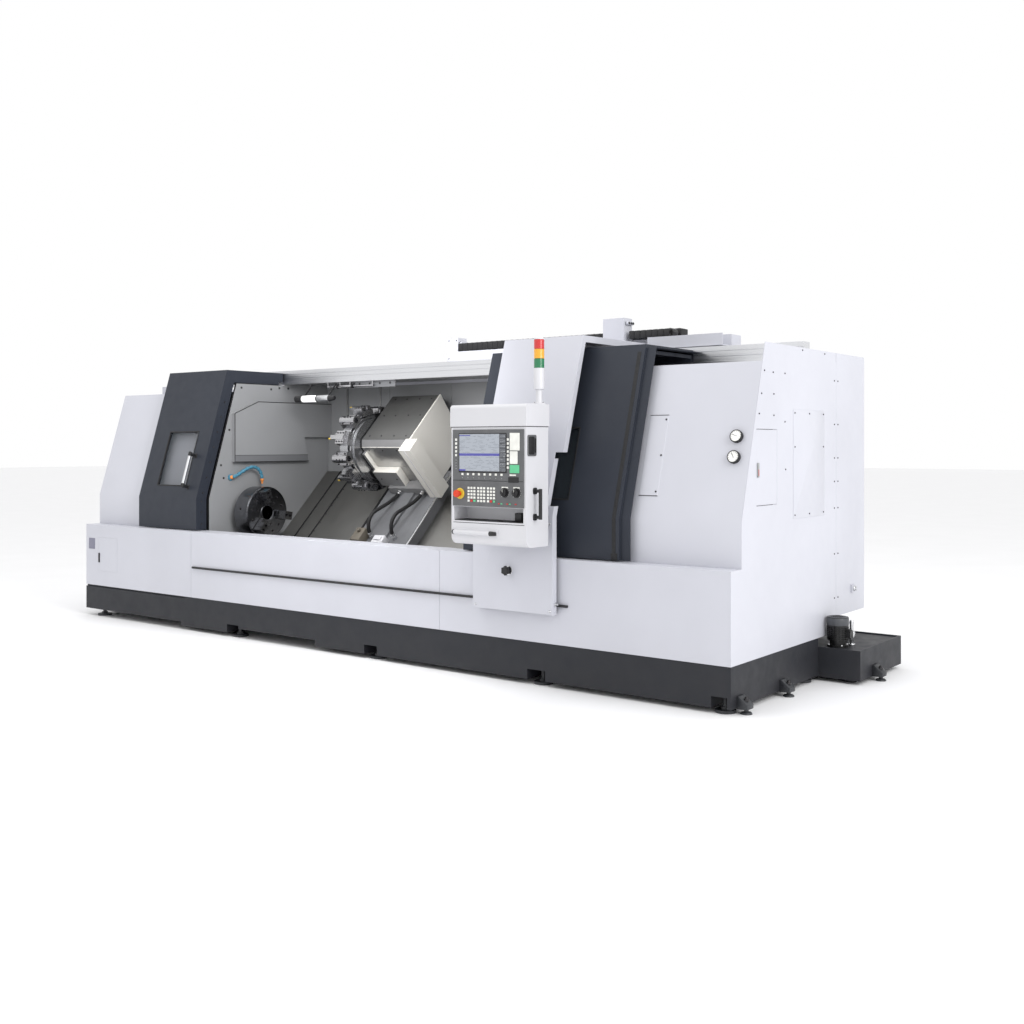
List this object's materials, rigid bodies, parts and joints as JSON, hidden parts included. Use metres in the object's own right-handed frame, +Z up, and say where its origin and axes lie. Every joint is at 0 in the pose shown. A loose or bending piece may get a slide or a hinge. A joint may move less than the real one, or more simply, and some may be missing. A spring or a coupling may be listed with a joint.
{
  "type": "cnc turning lathe",
  "caption": "Long slant-bed CNC turning lathe with sliding doors, chuck, turret on a cross slide, tailstock, sliding control box, cabinet and coolant tank.",
  "frame": {"origin": "bottom centre of the whole machine's box, on the floor", "axes": "+X from the headstock end to the tank end, +Y from the operator to the back, +Z up"},
  "size_m": [6.054, 2.278, 2.204],
  "materials": {
    "slate_paint": "satin powder coat, fine orange peel",
    "pale_paint": "satin powder coat",
    "inner_grey": "satin paint",
    "cream_paint": "satin paint",
    "cast_paint": "painted casting",
    "cover_steel": "brushed sheet with an oil film",
    "bright_steel": "ground and polished",
    "aluminium": "extruded, satin",
    "black_plastic": "moulded, fine grain",
    "panel_face": "printed foil",
    "hose_blue": "moulded links",
    "estop_red": "gloss moulded",
    "lamp_body": "gloss moulded",
    "window_glass": "laminated safety glass"
  },
  "bodies": {
    "machine": {"base_frame": "slate_paint", "levelling_feet": "bright_steel", "slant_bed": "cast_paint", "headstock": "cast_paint", "z_axis_drive": "bright_steel", "front_cover_left": "pale_paint", "front_cover_middle": "pale_paint", "front_cover_right": "pale_paint", "headstock_cover": "pale_paint", "tail_cover": "pale_paint", "right_end_plate": "pale_paint", "lubrication_unit": "cream_paint", "pressure_gauges": "black_plastic", "rear_cover": "pale_paint", "door_rails": "aluminium", "control_rail": "black_plastic", "headstock_wall": "inner_grey", "tail_wall": "inner_grey", "inner_rear_wall": "inner_grey", "chip_trough": "inner_grey", "electrical_cabinet": "pale_paint", "coolant_tank": "slate_paint", "coolant_pump": "black_plastic", "cable_trays": "pale_paint", "front_cable_chain": "black_plastic", "work_lamp": "aluminium", "coolant_nozzle": "hose_blue", "fixed_way_covers": "cover_steel"},
    "cabinet_door": {"cabinet_door": "pale_paint"},
    "left_door": {"left_door": "slate_paint", "left_window": "window_glass", "left_handle": "bright_steel"},
    "right_door": {"right_door": "slate_paint", "right_window": "window_glass", "right_handle": "bright_steel"},
    "right_rear_door": {"right_rear_door": "slate_paint"},
    "control": {"control_column": "pale_paint", "control_box": "pale_paint", "operator_panel": "panel_face", "box_handle": "black_plastic", "stack_light": "lamp_body"},
    "estop": {"estop_button": "estop_red"},
    "feed_knob": {"feed_knob": "black_plastic"},
    "speed_knob": {"speed_knob": "black_plastic"},
    "clamp_knob": {"clamp_knob": "black_plastic"},
    "spindle": {"spindle": "bright_steel", "chuck_body": "bright_steel"},
    "jaw_1": {"jaw_1": "bright_steel"},
    "jaw_2": {"jaw_2": "bright_steel"},
    "jaw_3": {"jaw_3": "bright_steel"},
    "saddle": {"saddle": "cast_paint", "saddle_way_covers": "cover_steel"},
    "left_middle_cover": {"left_middle_cover": "cover_steel"},
    "right_middle_cover": {"right_middle_cover": "cover_steel"},
    "cross_slide": {"cross_slide": "cast_paint", "slide_guard": "cream_paint"},
    "turret": {"turret_disc": "bright_steel", "tool_holders": "bright_steel"},
    "tailstock": {"tailstock": "cast_paint"},
    "quill": {"quill": "bright_steel"}
  },
  "joints": [
    {"name": "left_door_slide", "type": "slide", "parent": "machine", "child": "left_door", "axis": [1, 0, 0], "range_m": [0, 0.6]},
    {"name": "right_door_slide", "type": "slide", "parent": "machine", "child": "right_door", "axis": [1, 0, 0], "range_m": [-1.99, 0]},
    {"name": "right_rear_door_slide", "type": "slide", "parent": "machine", "child": "right_rear_door", "axis": [1, 0, 0], "range_m": [-0.995, 0]},
    {"name": "control_slide", "type": "slide", "parent": "machine", "child": "control", "axis": [1, 0, 0], "range_m": [-2.5, 0], "deforming": ["front_cable_chain"]},
    {"name": "cabinet_door_swing", "type": "hinge", "parent": "machine", "child": "cabinet_door", "pos_m": [1.685, 1.127, 1.146], "axis": [0, 0, 1], "range_deg": [0, 110]},
    {"name": "spindle_spin", "type": "hinge", "parent": "machine", "child": "spindle", "pos_m": [-1.527, -0.205, 0.865], "axis": [1, 0, 0], "continuous": true},
    {"name": "jaw_1_slide", "type": "slide", "parent": "spindle", "child": "jaw_1", "axis": [0, -0.342, 0.9397], "range_m": [-0.005, 0.005]},
    {"name": "jaw_2_slide", "type": "slide", "parent": "spindle", "child": "jaw_2", "axis": [0, -0.6428, -0.766], "range_m": [-0.005, 0.005]},
    {"name": "jaw_3_slide", "type": "slide", "parent": "spindle", "child": "jaw_3", "axis": [0, 0.9848, -0.1736], "range_m": [-0.005, 0.005]},
    {"name": "saddle_slide", "type": "slide", "parent": "machine", "child": "saddle", "axis": [1, 0, 0], "range_m": [-0.28, 0.6]},
    {"name": "left_middle_cover_slide", "type": "slide", "parent": "machine", "child": "left_middle_cover", "axis": [1, 0, 0], "range_m": [-0.14, 0.3]},
    {"name": "right_middle_cover_slide", "type": "slide", "parent": "machine", "child": "right_middle_cover", "axis": [1, 0, 0], "range_m": [-0.14, 0.3]},
    {"name": "cross_slide_feed", "type": "slide", "parent": "saddle", "child": "cross_slide", "axis": [0, 0.7071, 0.7071], "range_m": [-0.37, 0.02]},
    {"name": "turret_index", "type": "hinge", "parent": "cross_slide", "child": "turret", "pos_m": [-0.807, 0.28997, 1.35997], "axis": [1, 0, 0], "continuous": true},
    {"name": "tailstock_slide", "type": "slide", "parent": "machine", "child": "tailstock", "axis": [1, 0, 0], "range_m": [-0.6, 0]},
    {"name": "quill_slide", "type": "slide", "parent": "tailstock", "child": "quill", "axis": [1, 0, 0], "range_m": [-0.1, 0]},
    {"name": "estop_push", "type": "slide", "parent": "control", "child": "estop", "axis": [0, 1, 0], "range_m": [0, 0.006], "stiffness_N_per_m": 600},
    {"name": "feed_knob_turn", "type": "hinge", "parent": "control", "child": "feed_knob", "pos_m": [1.588, -1.101, 1.125], "axis": [0, -1, 0], "range_deg": [-135, 135]},
    {"name": "speed_knob_turn", "type": "hinge", "parent": "control", "child": "speed_knob", "pos_m": [1.668, -1.101, 1.125], "axis": [0, -1, 0], "range_deg": [-135, 135]},
    {"name": "clamp_knob_turn", "type": "hinge", "parent": "control", "child": "clamp_knob", "pos_m": [1.385, -0.805, 0.66], "axis": [0, -1, 0], "continuous": true}
  ],
  "couplings": [
    {"joint": "right_rear_door_slide", "follows": "right_door_slide", "ratio": 0.5},
    {"joint": "jaw_2_slide", "follows": "jaw_1_slide", "ratio": 1},
    {"joint": "jaw_3_slide", "follows": "jaw_1_slide", "ratio": 1},
    {"joint": "left_middle_cover_slide", "follows": "saddle_slide", "ratio": 0.5},
    {"joint": "right_middle_cover_slide", "follows": "saddle_slide", "ratio": 0.5}
  ]
}
